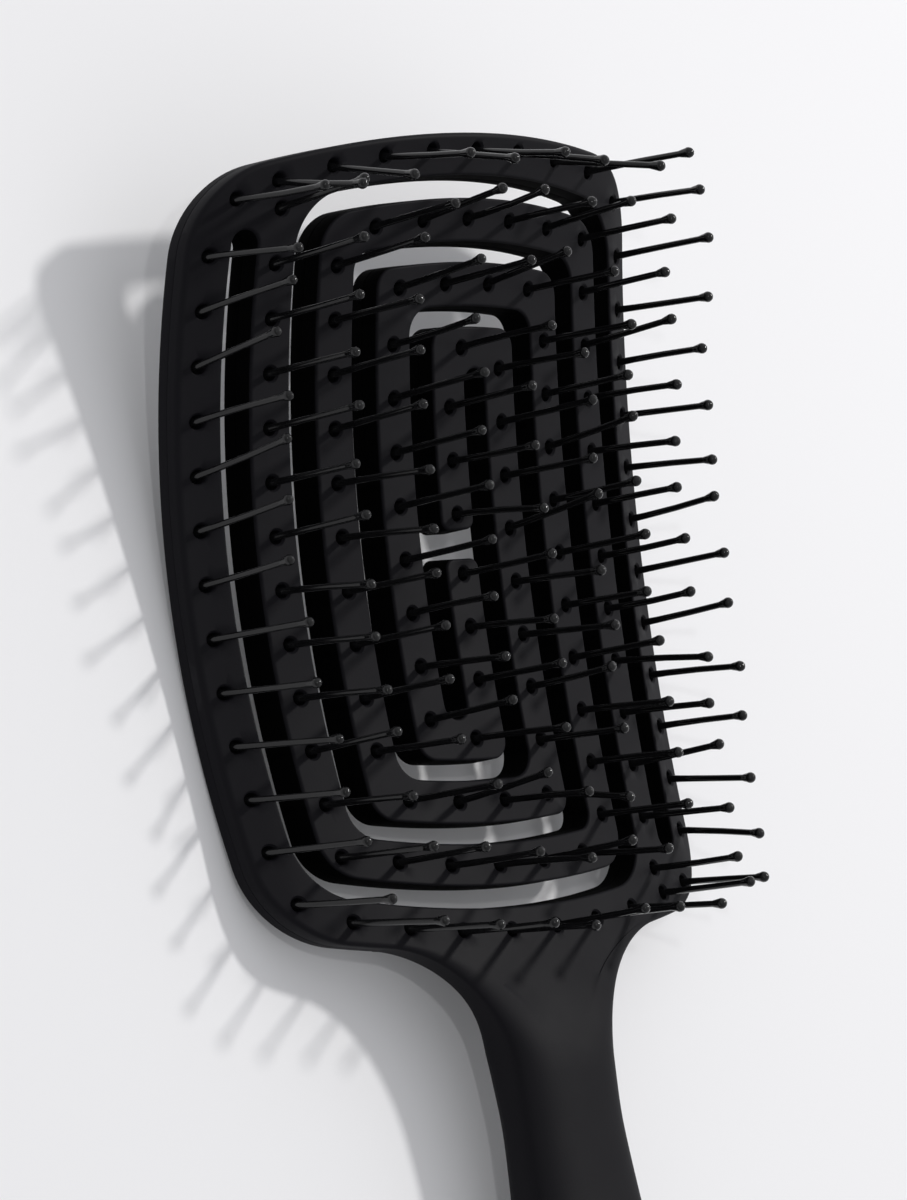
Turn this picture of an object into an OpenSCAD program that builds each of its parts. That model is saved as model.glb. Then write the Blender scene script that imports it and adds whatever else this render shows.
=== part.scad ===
// Vented massage brush with a double spiral of slots and ball-tipped pins.
// The head is worked out lying level, pins straight up, and then laid on its back.

/* [Head] */
// Width of the slots that run lengthwise
slot_w = 5.0; // [4.4:0.1:5.4]
// Width of the frame along the head's sides
rail_w = 5.975; // [5:0.025:7]
// Height of the outer crosswise slots
outer_row_slot = 3.4; // [3:0.1:3.8]
// Height of the other crosswise slots
row_slot = 3.1; // [2.8:0.1:3.5]
// Distance from one crosswise slot to the next
row_pitch = 9.2; // [9:0.1:9.6]
// Width of the frame between the head's end and the first crosswise slot
end_frame = 6.1; // [5.8:0.1:6.6]
// Distance from the head's end to the rounded end of the outermost slots
root_inset = 12.1; // [12:0.1:14]
// Width of the web past the rounded end of the innermost slots
tip_web = 5.75; // [5.5:0.05:6]
// Height of the gap between the two spiral tips
tip_gap = 4.2; // [3:0.1:5]
// Half of the head's length
head_half_l = 58.9; // [58.5:0.1:60]
// Half of the head's width at its middle
head_half_w = 47.5; // [46.5:0.1:49]
// Radius of the head's crown and foot in plan
crown_r = 160; // [150:1:180]
// Radius in plan of the outermost columns
bow_r = 400; // [380:1:460]
// Corner radius of the head
head_corner = 13; // [12:0.5:14]
// Lengthwise radius of the hollow face
length_r = 227; // [215:1:260]
// Crosswise radius of the crowned face
cross_r = 151; // [140:1:180]

/* [Shells] */
// Thickness of the head
head_t = 5.0; // [4.8:0.1:6]
// Thickness of the back cover
cover_t = 2.1; // [1.8:0.1:2.3]
// Wall that the pins come through
face_wall = 1.4; // [1.2:0.1:1.6]
// Clearance between the cover and the neck
cover_gap = 0.15; // [0.1:0.05:0.2]
// Diameter of the locating pegs
peg_d = 2.0; // [1.6:0.1:2.2]
// Length of the locating pegs
peg_l = 1.6; // [1.2:0.1:1.8]
// Clearance all round a peg
peg_gap = 0.1; // [0.05:0.05:0.15]

/* [Pins] */
// Distance between pins along a column
pin_pitch = 7.7; // [7.5:0.05:7.8]
// Distance between pins along a row
pin_row_pitch = 9.2; // [9:0.05:9.4]
// Length of a pin above the face
pin_l = 17.4; // [14:0.1:20]
// Diameter of a pin's shaft
pin_d = 0.9; // [0.8:0.05:1.1]
// Diameter of the ball at a pin's tip
ball_d = 1.6; // [1.4:0.1:2]
// Length of the taper below the ball
ball_taper = 1.3; // [1:0.1:2]
// Diameter of a pin's foot
foot_d = 3.0; // [2.8:0.1:3.2]
// Thickness of a pin's foot
foot_h = 0.9; // [0.7:0.1:1]
// Diameter of the hole that a shaft comes through
hole_d = 2.0; // [1.8:0.1:2.2]
// Clearance all round a pin's foot
foot_gap = 0.1; // [0.05:0.05:0.15]
// Clearance between a foot and its seat
seat_gap = 0.05; // [0.02:0.01:0.1]

/* [Handle] */
// Length from the head's middle to the handle's end
handle_reach = 186; // [175:1:200]
// Width of the waist
waist_w = 20.5; // [19:0.5:23]
// Thickness of the waist
waist_t = 10.2; // [8:0.2:11]
// Radius of the fillets at the neck
neck_r = 18; // [14:0.5:20]
// Width of the grip
grip_w = 27.5; // [25:0.5:30]
// Thickness of the grip
grip_t = 14.4; // [12:0.2:16]
// Distance from the head's middle to the waist
waist_reach = 77; // [75:0.5:80]
// Distance from the head's middle to the widest part of the grip
grip_reach = 135; // [125:1:150]
// Height of the waist's middle above the middle of the face
waist_rise = 7.1; // [6:0.1:9]
// Rise of the handle for each millimetre of its length
handle_rise = 0.09; // [0.05:0.01:0.12]
// Length of the handle's rounded end
end_l = 24; // [18:1:30]

/* [Hidden] */

// Distance from one column of the spiral to the next, in the space between the rails.
column_pitch = (head_half_w - rail_w - slot_w / 2) / 3.5;
axis_to_centre = length_r + cross_r;
crown_centre = crown_r - head_half_l;
part_depth = head_t - cover_t;
seat_d = foot_d + 2 * foot_gap;
socket_d = peg_d + 2 * peg_gap;
overlap = 0.5;
corner_lap = 0.005;

// Sizes of the blocks that cut and trim the head, larger than it on every side.
wide = 1.3 * head_half_w;
high = 0.6 * head_half_l;

// Places of the crosswise slots and of the strips between them, at the middle of the head.
outer_slot_y = head_half_l - end_frame - outer_row_slot / 2;
middle_slot_y = outer_slot_y - row_pitch;
inner_slot_y = outer_slot_y - 2 * row_pitch;
outer_strip_y = outer_slot_y - row_pitch / 2;
middle_strip_y = outer_slot_y - 1.5 * row_pitch;
inner_strip_y = outer_slot_y - 2.5 * row_pitch;
root_y = head_half_l - root_inset;
tip_y = inner_slot_y - row_slot / 2 - tip_web;

// The neck's fillets start just inside the head's foot.
neck_x = waist_w / 2 + neck_r + 0.2;
neck_y = 0.19 - row_y(head_half_l, neck_x) - neck_r;
handle_start = 1.9 - head_half_l;
end_start = end_l - handle_reach;
section_power = 2.6;
stations = concat([for (i = [0:14]) handle_start + (end_start + 7 - handle_start) * i / 14],
    [for (i = [0:8]) end_start - end_l * sin(11 * i)]);
shell = "#1d1d1f";
pin_black = "#0e0e10";

// Height of the face, or of a layer below it, at a place in plan.
function face_z(x, y, depth = 0) =
    length_r - sqrt(pow(axis_to_centre - sqrt(pow(cross_r - depth, 2) - x * x), 2) - y * y);

// Radius in plan of the column that crosses the middle at x.
function column_r(x) = bow_r * 4 * column_pitch / abs(x);

// Place of a column at a given y.
function column_x(x, y) = x - sign(x) * (column_r(x) - sqrt(pow(column_r(x), 2) - y * y));

// Height in plan of a crosswise arc that crosses the middle at y.
function row_y(y, x) = sign(y) * (sqrt(pow(crown_centre + abs(y), 2) - x * x) - crown_centre);

// Point where two circles cross, on the outer side of the head.
function crossing(a, ra, b, rb, side) =
    let (d = norm(b - a), u = (b - a) / d)
    let (s = (d * d + ra * ra - rb * rb) / (2 * d), h = sqrt(ra * ra - s * s))
    a + s * u + side * h * [-u[1], u[0]];

// Disc whose rim crosses the middle at x and bows outward.
module side_disc(x) {
    r = column_r(x);
    translate([x - sign(x) * r, 0]) circle(r, $fn = 720);
}

// Disc whose rim crosses the middle at y, centred with the crown.
module row_disc(y) {
    translate([0, -crown_centre]) circle(crown_centre + y, $fn = 720);
}

// What a rounded corner takes away where a side at x meets an arc at y.
module corner_bit(x, y, r) {
    side = column_r(x);
    a = [x - sign(x) * side, 0];
    b = [0, -crown_centre];
    f = crossing(a, side - r, b, crown_centre + y - r, sign(x));
    to_side = (f - a) / norm(f - a);
    to_crown = (f - b) / norm(f - b);
    difference() {
        polygon([f, f + 1.7 * r * to_side, f + 1.9 * r * (to_side + to_crown), f + 1.7 * r * to_crown]);
        translate(f) circle(r + corner_lap, $fn = 96);
    }
}

// Upper half of a rounded field between two sides and a crosswise arc.
module cap(x_left, x_right, y_top, r_left, r_right) {
    difference() {
        intersection() {
            side_disc(x_left);
            side_disc(x_right);
            row_disc(y_top);
            translate([-wide, -overlap]) square([2 * wide, 1.2 * head_half_l]);
        }
        corner_bit(x_left, y_top, r_left);
        corner_bit(x_right, y_top, r_right);
    }
}

// Slot that runs up one column, across a row and down another column. Each corner
// has an outer and an inner radius.
module bent_slot(left, right, y, height, r_left, r_right) {
    w = slot_w / 2;
    h = height / 2;
    difference() {
        cap(left - w, right + w, y + h, r_left[0], r_right[0]);
        cap(left + w, right - w, y - h, r_left[1], r_right[1]);
    }
}

// Straight end of a slot from the middle line to a rounded end at y.
module end_slot(x, y) {
    y_round = y - sign(y) * slot_w / 2;
    inner = column_x(x - slot_w / 2, y_round);
    outer = column_x(x + slot_w / 2, y_round);
    difference() {
        intersection() {
            side_disc(x + slot_w / 2);
            translate([x - 1.2 * slot_w, y > 0 ? -overlap : y_round])
                square([2.4 * slot_w, abs(y_round) + overlap]);
        }
        side_disc(x - slot_w / 2);
    }
    translate([(inner + outer) / 2, y_round]) circle((outer - inner) / 2 + 0.02, $fn = 64);
}

// One of the two spirals. The other is the same, turned half round.
module spiral_slot() {
    p = column_pitch;
    bent_slot(-2.5 * p, 3.5 * p, outer_slot_y, outer_row_slot, [9, 6], [10.5, 6.5]);
    bent_slot(-1.5 * p, 2.5 * p, middle_slot_y, row_slot, [3, 3], [5, 4]);
    bent_slot(-0.5 * p, 1.5 * p, inner_slot_y, row_slot, [4, 3], [4, 3]);
    end_slot(3.5 * p, -root_y);
    end_slot(0.5 * p, tip_y);
}

module slots() {
    spiral_slot();
    rotate(180) spiral_slot();
    square([column_pitch, tip_gap], center = true);
}

module head_outline() {
    difference() {
        intersection() {
            side_disc(-head_half_w);
            side_disc(head_half_w);
            row_disc(head_half_l);
            rotate(180) row_disc(head_half_l);
        }
        for (turn = [0, 180], x = [-head_half_w, head_half_w]) {
            rotate(turn) corner_bit(x, head_half_l, head_corner);
        }
    }
}

// Flared web between the head and the waist.
module neck_web() {
    difference() {
        translate([-neck_x, neck_y]) square([2 * neck_x, 1.3 * neck_r]);
        for (side = [-1, 1]) translate([side * neck_x, neck_y]) circle(neck_r, $fn = 96);
    }
}

// Everything below the head's foot, with a clearance from it.
module below_foot(gap) {
    difference() {
        translate([-wide, -2 * handle_reach]) square([2 * wide, 2 * handle_reach - 0.7 * head_half_l]);
        rotate(180) row_disc(head_half_l + gap);
    }
}

// Doubly curved layer of the head between two depths below the face.
module layer(top, bottom, reach = 1.07 * head_half_w) {
    translate([0, 0, length_r]) rotate([0, 90, 0]) rotate([0, 0, -20]) rotate_extrude(angle = 40, $fn = 720)
        intersection() {
            translate([axis_to_centre, 0]) difference() {
                circle(cross_r - top, $fn = 720);
                circle(cross_r - bottom, $fn = 720);
            }
            translate([length_r - head_t, -reach]) square([6 * head_t, 2 * reach]);
        }
}

// The head's plan with its slots, drawn up and down past both faces.
module head_prism() {
    translate([0, 0, -high]) linear_extrude(2 * high) difference() {
        head_outline();
        slots();
    }
}

// Layer of the neck between two depths below the face.
module neck_layer(top, bottom, gap) {
    intersection() {
        layer(top, bottom);
        translate([0, 0, -high]) linear_extrude(2 * high) intersection() {
            neck_web();
            below_foot(gap);
        }
    }
}

// Half width and half thickness of the handle, and the height of its middle.
function smooth(t) = let (s = min(max(t, 0), 1)) s * s * (3 - 2 * s);
function swell(y) = smooth((-waist_reach - y) / (grip_reach - waist_reach));
function handle_w(y) = (waist_w + (grip_w - waist_w) * swell(y)) / 2;
function neck_t(y) =
    let (t = (handle_start - y) / (waist_reach + handle_start))
    head_t + 0.2 + (waist_t - head_t - 0.2) * smooth(t);
function handle_t(y) = (y < -waist_reach ? waist_t + (grip_t - waist_t) * swell(y) : neck_t(y)) / 2;

// The handle's middle runs straight below the waist and curves into the head's middle above it.
function handle_line(y) = waist_rise - handle_rise * (y + waist_reach);
neck_fall = handle_line(handle_start) - face_z(0, handle_start, head_t / 2);
neck_drop = neck_fall / pow(handle_start + waist_reach, 2);
function handle_z(y) = handle_line(y) - neck_drop * pow(max(y + waist_reach, 0), 2);

// How far the rounded end has closed at y, from 1 down to nearly 0.
function end_close(y) = pow(1 - pow(max((end_start - y) / end_l, 0), 2.2), 0.5);

// Distance from the handle's middle to its surface, looking along an angle.
function reach_at(y, turn) =
    let (q = section_power / (section_power - 1))
    let (w = pow(handle_w(y) * abs(sin(turn)), q), t = pow(handle_t(y) * abs(cos(turn)), q))
    end_close(y) * pow(w + t, 1 / q);

// Slab of the handle between two ruled sides, looking along an angle.
module handle_slab(turn) {
    upper = [for (y = stations) [y, handle_z(y) * cos(turn) + reach_at(y, turn)]];
    lower = [for (y = stations) [y, handle_z(y) * cos(turn) - reach_at(y, turn)]];
    back = [for (i = [len(lower) - 1:-1:0]) lower[i]];
    rotate([0, turn, 0]) rotate([90, 0, 90]) linear_extrude(2 * wide, center = true)
        polygon(concat(upper, back));
}

module handle_solid() {
    intersection() {
        handle_slab(0);
        handle_slab(90);
        handle_slab(30);
        handle_slab(-30);
        handle_slab(60);
        handle_slab(-60);
        translate([0, 0, -2 * high]) linear_extrude(4 * high) below_foot(cover_gap);
    }
}

// Places of the pins along a column and along a row, from a first place to a last.
function column_pins(x, first, last) =
    [for (y = [first:-pin_pitch:last]) [column_x(x, y), y]];
function row_pins(y, first, last) =
    [for (x = [first:pin_row_pitch:last]) [x, row_y(y, x)]];
function half_turn(points) = [for (p = points) [-p[0], -p[1]]];

// The rail's end pins follow the head's rounded corners.
function rail_pins() =
    [for (p = column_pins(-4 * column_pitch, root_y + 4.7, -root_y - 2))
        [p[0] + 0.5 * max(abs(p[1]) - root_y + 0.8, 0), p[1]]];
function crown_pins() =
    row_pins(head_half_l - end_frame / 2 + 0.2, -3 * column_pitch + 1.6, 3 * column_pitch);
function outer_column() = column_pins(-3 * column_pitch, outer_strip_y + 2.6, -outer_strip_y + 2);
function outer_row() = row_pins(-outer_strip_y, -2 * column_pitch, 2 * column_pitch - 4);
function middle_column() = column_pins(2 * column_pitch, middle_strip_y - 8.6, -outer_strip_y + 5);
function middle_row() = row_pins(middle_strip_y, -column_pitch + 1.5, 2 * column_pitch - 4);
function inner_column() = column_pins(-column_pitch, middle_strip_y - 8.3, -inner_strip_y + 2);
function tip_column() = column_pins(0.001, -tip_gap / 2 - 2.2, -inner_strip_y + 7);
function tip_pins() = concat([[-column_pitch / 4, -inner_strip_y]], tip_column());
function one_turn() =
    concat(rail_pins(), crown_pins(), outer_column(), outer_row(), middle_column(), middle_row(),
        inner_column(), tip_pins());
all_pins = concat(one_turn(), half_turn(one_turn()));

// Pegs of the cover, each halfway between two pins.
function midway(points, i) = (points[i] + points[i + 1]) / 2;
function half_pegs() =
    [midway(rail_pins(), 2), midway(rail_pins(), 9), midway(crown_pins(), 3), midway(outer_column(), 6),
        midway(middle_column(), 5), midway(inner_column(), 3)];
pegs = concat(half_pegs(), half_turn(half_pegs()));

module pin() {
    neck = pin_l - ball_d / 2 - ball_taper;
    foot = -face_wall - seat_gap - foot_h;
    centre = pin_l - ball_d / 2;
    under = 0.97 * ball_d / 2 * [cos(25), -sin(25)];
    rotate_extrude($fn = 48) {
        polygon([[0, foot], [foot_d / 2, foot], [foot_d / 2, foot + foot_h], [pin_d / 2, foot + foot_h],
            [pin_d / 2, neck], [under[0], centre + under[1]], [0, centre]]);
        translate([0, centre]) intersection() {
            circle(ball_d / 2, $fn = 48);
            translate([0, -ball_d]) square(2 * ball_d);
        }
    }
}

// The finished brush lies on its back, on the edges of both rails and on the handle's end.
rail_edge = [for (y = [-root_y:2:0]) [y, face_z(column_x(head_half_w, y), y, head_t)]];
handle_back = [for (y = stations) if (y < -grip_reach) [y, handle_z(y) - reach_at(y, 0)]];
rest_tilt = atan(min([for (h = handle_back) max([for (e = rail_edge) (h[1] - e[1]) / (e[0] - h[0])])]));
lift = -min([for (e = rail_edge) e[1] * cos(rest_tilt) + e[0] * sin(rest_tilt)]);
crown_end = head_half_l * cos(rest_tilt) - face_z(0, head_half_l, head_t) * sin(rest_tilt);
handle_end = -handle_reach * cos(rest_tilt) - handle_z(-handle_reach) * sin(rest_tilt);

module placed() {
    translate([0, -(crown_end + handle_end) / 2, lift]) rotate([rest_tilt, 0, 0]) children();
}

module pins(points) {
    color(pin_black) placed() for (p = points) translate([p[0], p[1], face_z(p[0], p[1])]) pin();
}

// Face of the head, with a stepped hole for each pin and a blind socket for each peg.
module front_shell() {
    color(shell) placed() difference() {
        intersection() {
            layer(0, part_depth);
            head_prism();
        }
        for (p = all_pins) {
            translate([p[0], p[1], -high]) cylinder(h = 2 * high, d = hole_d, $fn = 32);
            translate([p[0], p[1], face_z(p[0], p[1]) - face_wall - head_t])
                cylinder(h = head_t, d = seat_d, $fn = 32);
        }
        for (p = pegs) {
            translate([p[0], p[1], face_z(p[0], p[1], part_depth) - head_t])
                cylinder(h = head_t + peg_l + peg_gap, d = socket_d, $fn = 32);
        }
    }
}

// Neck and handle, which run on from the front shell and leave room for the cover.
module handle() {
    color(shell) placed() {
        neck_layer(0, part_depth, 0);
        neck_layer(part_depth, head_t, cover_gap);
        handle_solid();
    }
}

module back_cover() {
    color(shell) placed() {
        intersection() {
            layer(part_depth, head_t);
            head_prism();
        }
        for (p = pegs) {
            translate([p[0], p[1], face_z(p[0], p[1], part_depth) - cover_t / 2])
                cylinder(h = cover_t / 2 + peg_l, d = peg_d, $fn = 32);
        }
    }
}

front_shell();
back_cover();
handle();
pins(rail_pins());  // pins_rail_left
pins(half_turn(rail_pins()));  // pins_rail_right
pins(crown_pins());  // pins_crown
pins(half_turn(crown_pins()));  // pins_foot
pins(outer_column());  // pins_arm_a_outer_column
pins(outer_row());  // pins_arm_a_outer_row
pins(middle_column());  // pins_arm_a_middle_column
pins(middle_row());  // pins_arm_a_middle_row
pins(inner_column());  // pins_arm_a_inner_column
pins(tip_pins());  // pins_arm_a_tip
pins(half_turn(outer_column()));  // pins_arm_b_outer_column
pins(half_turn(outer_row()));  // pins_arm_b_outer_row
pins(half_turn(middle_column()));  // pins_arm_b_middle_column
pins(half_turn(middle_row()));  // pins_arm_b_middle_row
pins(half_turn(inner_column()));  // pins_arm_b_inner_column
pins(half_turn(tip_pins()));  // pins_arm_b_tip
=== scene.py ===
import math
import random

import bmesh
import bpy
import numpy as np
from mathutils import Matrix, Vector
from mathutils.geometry import delaunay_2d_cdt


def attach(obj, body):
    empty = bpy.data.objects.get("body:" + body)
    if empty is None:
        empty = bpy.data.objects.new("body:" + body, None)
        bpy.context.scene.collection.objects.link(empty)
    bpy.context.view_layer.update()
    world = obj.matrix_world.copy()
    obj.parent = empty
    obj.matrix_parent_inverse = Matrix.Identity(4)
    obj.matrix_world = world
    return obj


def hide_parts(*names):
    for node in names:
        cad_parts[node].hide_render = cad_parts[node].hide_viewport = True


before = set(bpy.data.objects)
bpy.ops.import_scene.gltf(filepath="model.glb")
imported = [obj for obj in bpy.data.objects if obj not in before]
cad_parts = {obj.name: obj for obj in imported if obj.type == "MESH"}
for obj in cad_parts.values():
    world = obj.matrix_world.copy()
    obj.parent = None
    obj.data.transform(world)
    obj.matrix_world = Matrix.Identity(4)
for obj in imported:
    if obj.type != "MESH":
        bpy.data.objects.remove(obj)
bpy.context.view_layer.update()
scene = bpy.context.scene

# Everything below is drawn in millimetres, with the head level and its pins straight up. As the last
# step of each piece toRow lays it down as it rests, in metres.
rest = {"tilt": math.radians(7.80937), "along": 64.2862, "lift": 14.6523}

headPlan = {
    "halfLength": 58.9, "halfWidth": 47.5, "thickness": 5.0, "crownRadius": 160.0, "bowRadius": 400.0,
    "cornerRadius": 13.8, "lengthRadius": 227.0, "crossRadius": 151.0, "railWidth": 5.975,
    "slotWidth": 5.0, "outerRowSlot": 3.4, "rowSlot": 3.1, "rowPitch": 9.2, "endFrame": 6.1,
    "rootInset": 12.1, "tipWeb": 5.75, "tipGap": 4.2, "tipCorner": 1.5, "tipCrown": 500.0,
    "slotEase": 0.2, "slotDraft": 0.25, "rollFrom": 39.0, "rollOver": 9.0, "rollDrop": 1.05,
    "rimTop": 58.7, "rimCrown": 200.0, "rimSide": 450.0, "footBelow": -50.0,
}
# radii of the corners of the slots, left and right, on the side away from the middle and on the near side
slotCorners = {"outerFar": (9.0, 10.5), "outerNear": (6.0, 6.5), "middleFar": (3.0, 5.0),
               "middleNear": (3.0, 4.0), "innerFar": (4.0, 4.0), "innerNear": (3.0, 3.0)}
rimCentre = headPlan["rimCrown"] - headPlan["rimTop"]
pitch = (headPlan["halfWidth"] - headPlan["railWidth"] - headPlan["slotWidth"] / 2) / 3.5
crownCentre = headPlan["crownRadius"] - headPlan["halfLength"]
outerSlotY = headPlan["halfLength"] - headPlan["endFrame"] - headPlan["outerRowSlot"] / 2
middleSlotY = outerSlotY - headPlan["rowPitch"]
innerSlotY = outerSlotY - 2 * headPlan["rowPitch"]
outerStripY = outerSlotY - headPlan["rowPitch"] / 2
middleStripY = outerSlotY - 1.5 * headPlan["rowPitch"]
innerStripY = outerSlotY - 2.5 * headPlan["rowPitch"]
rootY = headPlan["halfLength"] - headPlan["rootInset"]
tipY = innerSlotY - headPlan["rowSlot"] / 2 - headPlan["tipWeb"]


def toRow(points):
    p = np.asarray(points, float)
    c, s = math.cos(rest["tilt"]), math.sin(rest["tilt"])
    return np.stack([p[:, 0], p[:, 1] * c - p[:, 2] * s + rest["along"],
                     p[:, 1] * s + p[:, 2] * c + rest["lift"]], 1) / 1000


def smooth(t):
    t = np.clip(t, 0, 1)
    return t * t * (3 - 2 * t)


def faceZ(x, y, depth=0.0):  # height of the bowed face, or of a layer below it
    h = headPlan
    ring = h["lengthRadius"] + h["crossRadius"] - np.sqrt((h["crossRadius"] - depth) ** 2 - x * x)
    roll = h["rollDrop"] * smooth((np.abs(x) - h["rollFrom"]) / h["rollOver"]) if depth == 0 else 0
    return h["lengthRadius"] - np.sqrt(ring ** 2 - y * y) - roll  # the rails roll over a little


def columnRadius(x):  # the columns bow less the nearer they are to the middle
    return headPlan["bowRadius"] * 4 * pitch / abs(x)


def columnX(x, y):
    r = columnRadius(x)
    return x - math.copysign(r - math.sqrt(r * r - y * y), x)


def rowY(y, x):
    return math.copysign(math.sqrt((crownCentre + abs(y)) ** 2 - x * x) - crownCentre, y)


# Plan of the head, as closed loops with the plastic on the right of the way they run.
def arc(centre, start, end, step, turn=0):  # the short way round, unless turn says which way
    a = math.atan2(start[1] - centre[1], start[0] - centre[0])
    b = math.atan2(end[1] - centre[1], end[0] - centre[0])
    sweep = (b - a + math.pi) % (2 * math.pi) - math.pi
    if turn and sweep * turn < 0:
        sweep += turn * 2 * math.pi
    r = math.dist(start, centre)
    n = max(2, math.ceil(abs(sweep) * r / step))
    return [(centre[0] + r * math.cos(a + sweep * i / n), centre[1] + r * math.sin(a + sweep * i / n))
            for i in range(n)]


def cross(a, ra, b, rb, side):  # where two circles meet
    d = math.dist(a, b)
    ux, uy = (b[0] - a[0]) / d, (b[1] - a[1]) / d
    s = (d * d + ra * ra - rb * rb) / (2 * d)
    h = math.sqrt(ra * ra - s * s)
    return a[0] + s * ux - side * h * uy, a[1] + s * uy + side * h * ux


def onCircle(centre, through, r):  # the point of a circle on the way to another point
    d = math.dist(centre, through)
    return (centre[0] + (through[0] - centre[0]) * r / d, centre[1] + (through[1] - centre[1]) * r / d)


def capPath(left, right, top, corners, step=0.8, centre=crownCentre, sideRadius=None):
    # up the left side, round a corner, along the crown, round the other corner and down to the middle
    crown, crownR = (0.0, -centre), centre + top
    sides = []
    for x, r in zip((left, right), corners):
        side = sideRadius or columnRadius(x)
        a = (x - math.copysign(side, x), 0.0)
        f = cross(a, side - r, crown, crownR - r, math.copysign(1, x))
        fine = min(step, 0.16 * r + 0.1)  # shorter steps round a tight corner
        sides.append((a, f, onCircle(a, f, side), onCircle(crown, f, crownR), fine))
    (aL, fL, sL, cL, nL), (aR, fR, sR, cR, nR) = sides
    return (arc(aL, (left, 0), sL, step) + arc(fL, sL, cL, nL) + arc(crown, cL, cR, step)
            + arc(fR, cR, sR, nR) + arc(aR, sR, (right, 0), step) + [(right, 0)])


def halfTurn(path):
    return [(-x, -y) for x, y in path]


def backward(path):
    return path[::-1][:-1]


def edge(x, start, end, step=0.8):
    r = columnRadius(x)
    return arc((x - math.copysign(r, x), 0), (columnX(x, start), start), (columnX(x, end), end), step)


def roundEnd(xFrom, xTo, y):  # half circle that closes a slot, run anticlockwise
    a, b = (columnX(xFrom, y), y), (columnX(xTo, y), y)
    return arc(((a[0] + b[0]) / 2, y), a, (b[0], b[1] + 1e-7 * (xTo - xFrom)), 0.45, turn=1)


def slotLoop():  # both spiral slots join in the middle, so they are one loop
    ease, corner = headPlan["slotEase"], slotCorners  # the moulding's draft narrows each slot a little
    p, w = pitch, headPlan["slotWidth"] / 2 - ease
    h1, h2 = headPlan["outerRowSlot"] / 2 - ease / 2, headPlan["rowSlot"] / 2 - ease / 2
    rootRound, tipRound = rootY - w - ease, tipY - w - ease
    gap, rc = headPlan["tipGap"] / 2, headPlan["tipCorner"]
    left, right = -0.5 * p + w, 0.5 * p - w
    loop = edge(3.5 * p + w, -rootRound, 0)
    loop += backward(capPath(-2.5 * p - w, 3.5 * p + w, outerSlotY + h1, corner["outerFar"]))
    loop += halfTurn(backward(capPath(-1.5 * p - w, 2.5 * p + w, middleSlotY + h2, corner["middleFar"])))
    loop += backward(capPath(-0.5 * p - w, 1.5 * p + w, innerSlotY + h2, corner["innerFar"]))
    loop += edge(-0.5 * p - w, 0, -tipRound)
    loop += roundEnd(-0.5 * p - w, left, -tipRound)
    loop += edge(left, -tipRound, -gap - rc)
    loop += arc((left + rc, -gap - rc), (left, -gap - rc), (left + rc, -gap), 0.3)
    loop += arc((0, -gap - headPlan["tipCrown"]), (left + rc, -gap), (right - rc, -gap), 0.8)
    loop += arc((right - rc, -gap - rc), (right - rc, -gap), (right, -gap - rc), 0.3)
    loop += [q for q in halfTurn(capPath(left, 1.5 * p - w, innerSlotY - h2, corner["innerNear"])[:-1])
             if q[1] < -gap - rc + 1e-6]
    loop += capPath(-1.5 * p + w, 2.5 * p - w, middleSlotY - h2, corner["middleNear"])[:-1]
    loop += halfTurn(capPath(-2.5 * p + w, 3.5 * p - w, outerSlotY - h1, corner["outerNear"])[:-1])
    loop += edge(-3.5 * p + w, 0, rootRound)
    loop += roundEnd(-3.5 * p + w, -3.5 * p - w, rootRound)
    return np.array(loop + halfTurn(loop))


def headRim():
    r, w = headPlan["cornerRadius"], headPlan["halfWidth"]
    top = capPath(-w, w, headPlan["rimTop"], (r, r), 1.0, rimCentre, headPlan["rimSide"])[:-1]
    return top + halfTurn(top)


# neck and handle, as lengths down from the head's middle
handle = {
    "reach": 186.0, "waistWidth": 20.5, "waistThickness": 10.2, "neckRadius": 20.0, "gripWidth": 27.5,
    "gripThickness": 14.4, "waistReach": 77.0, "gripReach": 135.0, "waistRise": 7.1, "rise": 0.09,
    "endLength": 24.0, "endPower": 2.2, "sectionPower": 2.6, "start": -57.0, "neckFall": 0.00152227,
    "neckThickness": 5.2, "crossCrown": 340.0, "topLeaves": -60.0, "undersideLeaves": -58.5,
    "leaveOver": 16.0, "faceEnd": -90.0, "ovalAfter": 40.0, "sideReach": 0.985, "waistEase": 0.2,
    "easeLength": 8.0, "filletStep": 0.55, "sideSteps": 66, "endSteps": 23, "joinGap": 0.4,
}
endStart = handle["endLength"] - handle["reach"]


def swell(y):  # 0 at the waist, 1 where the grip is widest
    return smooth((-handle["waistReach"] - y) / (handle["gripReach"] - handle["waistReach"]))


def handleHalfWidth(y):
    h = handle
    ease = h["waistEase"] * smooth((y + h["waistReach"] + h["easeLength"]) / h["easeLength"])
    return (h["waistWidth"] + (h["gripWidth"] - h["waistWidth"]) * swell(y)) / 2 + ease


def handleHalfDepth(y):
    h = handle
    t = (h["start"] - y) / (h["waistReach"] + h["start"])
    neck = h["neckThickness"] + (h["waistThickness"] - h["neckThickness"]) * smooth(t)
    grip = h["waistThickness"] + (h["gripThickness"] - h["waistThickness"]) * swell(y)
    return np.where(y < -h["waistReach"], grip, neck) / 2


def handleMiddle(y):  # height of the middle line, straight along the grip and curved down at the neck
    past = y + handle["waistReach"]
    return handle["waistRise"] - handle["rise"] * past - handle["neckFall"] * np.maximum(past, 0) ** 2


def neckHeight(x, y, leaves, depth, side):  # from the head's face, or its back, over to the handle's
    far = smooth((leaves - y) / handle["leaveOver"])
    fromHead = (1 - far) * faceZ(x, np.maximum(y, handle["faceEnd"]), depth)
    crown = x * x / handle["crossCrown"] * (1 - far)
    return fromHead + far * (handleMiddle(y) + side * handleHalfDepth(y) - crown)


def neckTop(x, y):
    return neckHeight(x, y, handle["topLeaves"], 0.0, 1)


def neckBottom(x, y):
    return neckHeight(x, y, handle["undersideLeaves"], headPlan["thickness"], -1)


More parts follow.
